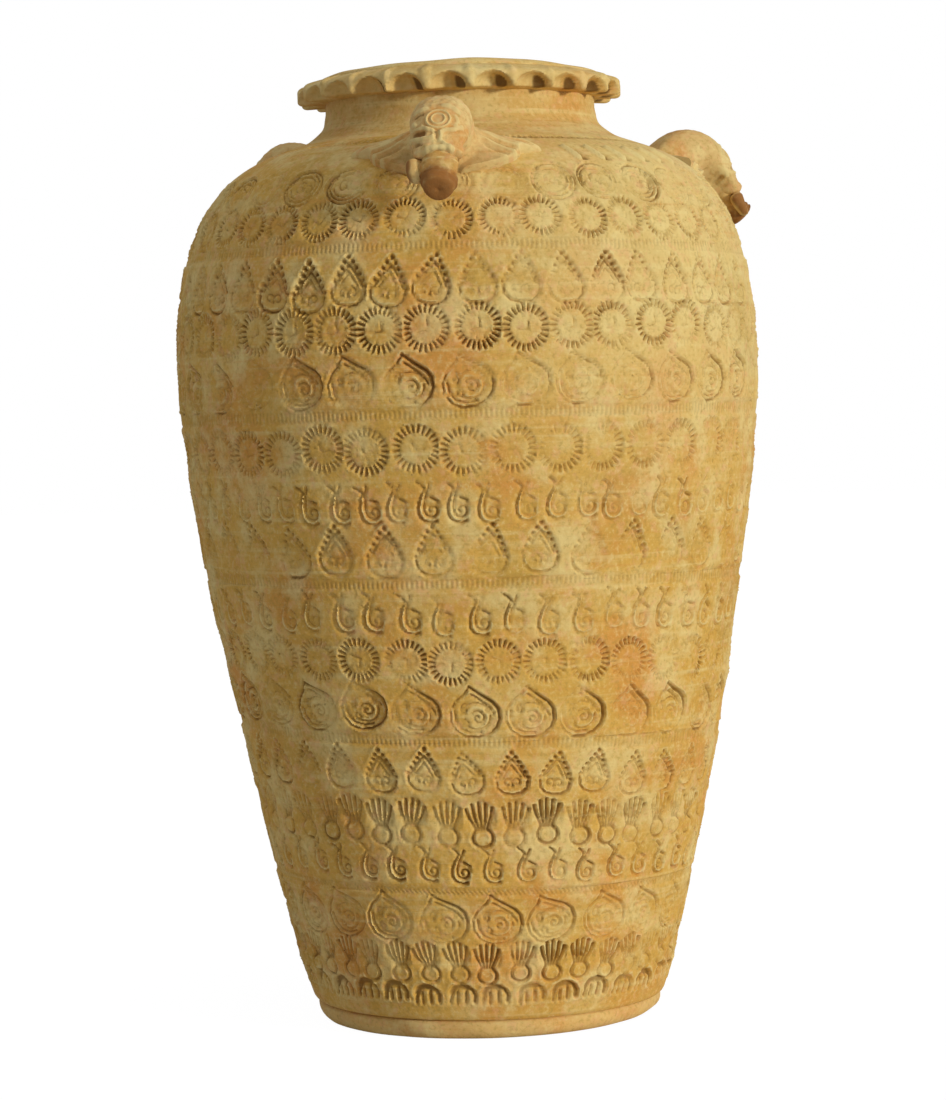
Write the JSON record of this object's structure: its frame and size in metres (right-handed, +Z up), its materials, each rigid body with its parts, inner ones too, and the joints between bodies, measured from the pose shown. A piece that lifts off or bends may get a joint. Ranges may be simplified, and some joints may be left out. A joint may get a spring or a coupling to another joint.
{
  "type": "elephant head jar",
  "caption": "Tall open storage jar of stamped terracotta with a thumbed frill under its lip and elephant heads spaced round its shoulder.",
  "frame": {"origin": "middle of the base, on the floor that the jar stands on", "axes": "+Z up along the jar's axis; the front elephant head faces -Y"},
  "size_m": [0.3567, 0.3776, 0.58],
  "materials": {
    "clay_body": "matte fired clay with a rubbed pale slip",
    "clay_base": "matte fired clay, bare",
    "clay_rim": "matte fired clay with a pale slip",
    "clay_head": "matte fired clay with a rubbed pale slip",
    "clay_trunk": "matte fired clay, burnt orange",
    "clay_tusk": "matte fired clay with a pale slip"
  },
  "bodies": {
    "root": {"base_disc": "clay_base", "foot_roll": "clay_base", "wall_course_1": "clay_body", "wall_course_2": "clay_body", "wall_course_3": "clay_body", "wall_course_4": "clay_body", "wall_course_5": "clay_body", "wall_course_6": "clay_body", "neck_collar": "clay_rim", "rim_lip": "clay_rim", "rim_frill": "clay_rim", "front_head": "clay_head", "front_boss": "clay_head", "front_trunk": "clay_trunk", "front_tusk_right": "clay_tusk", "front_tusk_left": "clay_tusk", "front_ear_right": "clay_head", "front_ear_left": "clay_head", "right_head": "clay_head", "right_boss": "clay_head", "right_trunk": "clay_trunk", "right_tusk_right": "clay_tusk", "right_tusk_left": "clay_tusk", "right_ear_right": "clay_head", "right_ear_left": "clay_head", "left_head": "clay_head", "left_boss": "clay_head", "left_trunk": "clay_trunk", "left_tusk_right": "clay_tusk", "left_tusk_left": "clay_tusk", "left_ear_right": "clay_head", "left_ear_left": "clay_head"}
  },
  "joints": []
}
